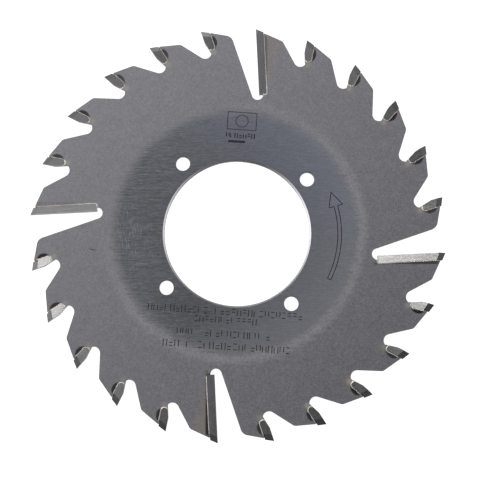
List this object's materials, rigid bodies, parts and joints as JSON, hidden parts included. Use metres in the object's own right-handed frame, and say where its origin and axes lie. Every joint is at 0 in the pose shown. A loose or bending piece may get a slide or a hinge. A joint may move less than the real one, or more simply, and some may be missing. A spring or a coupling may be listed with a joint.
{
  "type": "carbide-tipped saw disc",
  "caption": "Steel trimming saw disc with hooked brazed carbide tips, long radial wiper strips in deep gullets, a wide bore, pin holes and an engraved turning arrow.",
  "frame": {"origin": "centre of the bore, halfway through the plate", "axes": "+Z along the bore axis, out of the face with the engraved arrow; +X along the middle of the slot of wiper_strip_1, half a degree ahead of its edge; slots count counter-clockwise seen from +Z"},
  "size_m": [0.13, 0.13, 0.0036],
  "materials": {
    "plate_steel": "ground grey tool steel, brushed hub, matte toothed zone",
    "carbide": "ground tungsten carbide, satin",
    "braze": "silver braze, dull, slightly rippled"
  },
  "bodies": {
    "root": {"blade_body": "plate_steel", "carbide_tip_01": "carbide", "carbide_tip_02": "carbide", "carbide_tip_03": "carbide", "carbide_tip_04": "carbide", "carbide_tip_05": "carbide", "carbide_tip_06": "carbide", "carbide_tip_07": "carbide", "carbide_tip_08": "carbide", "carbide_tip_09": "carbide", "carbide_tip_10": "carbide", "carbide_tip_11": "carbide", "carbide_tip_12": "carbide", "carbide_tip_13": "carbide", "carbide_tip_14": "carbide", "carbide_tip_15": "carbide", "carbide_tip_16": "carbide", "carbide_tip_17": "carbide", "carbide_tip_18": "carbide", "carbide_tip_19": "carbide", "carbide_tip_20": "carbide", "tip_braze_01": "braze", "tip_braze_02": "braze", "tip_braze_03": "braze", "tip_braze_04": "braze", "tip_braze_05": "braze", "tip_braze_06": "braze", "tip_braze_07": "braze", "tip_braze_08": "braze", "tip_braze_09": "braze", "tip_braze_10": "braze", "tip_braze_11": "braze", "tip_braze_12": "braze", "tip_braze_13": "braze", "tip_braze_14": "braze", "tip_braze_15": "braze", "tip_braze_16": "braze", "tip_braze_17": "braze", "tip_braze_18": "braze", "tip_braze_19": "braze", "tip_braze_20": "braze", "wiper_strip_1": "carbide", "wiper_strip_2": "carbide", "wiper_strip_3": "carbide", "wiper_strip_4": "carbide", "wiper_braze_1": "braze", "wiper_braze_2": "braze", "wiper_braze_3": "braze", "wiper_braze_4": "braze"}
  },
  "joints": []
}
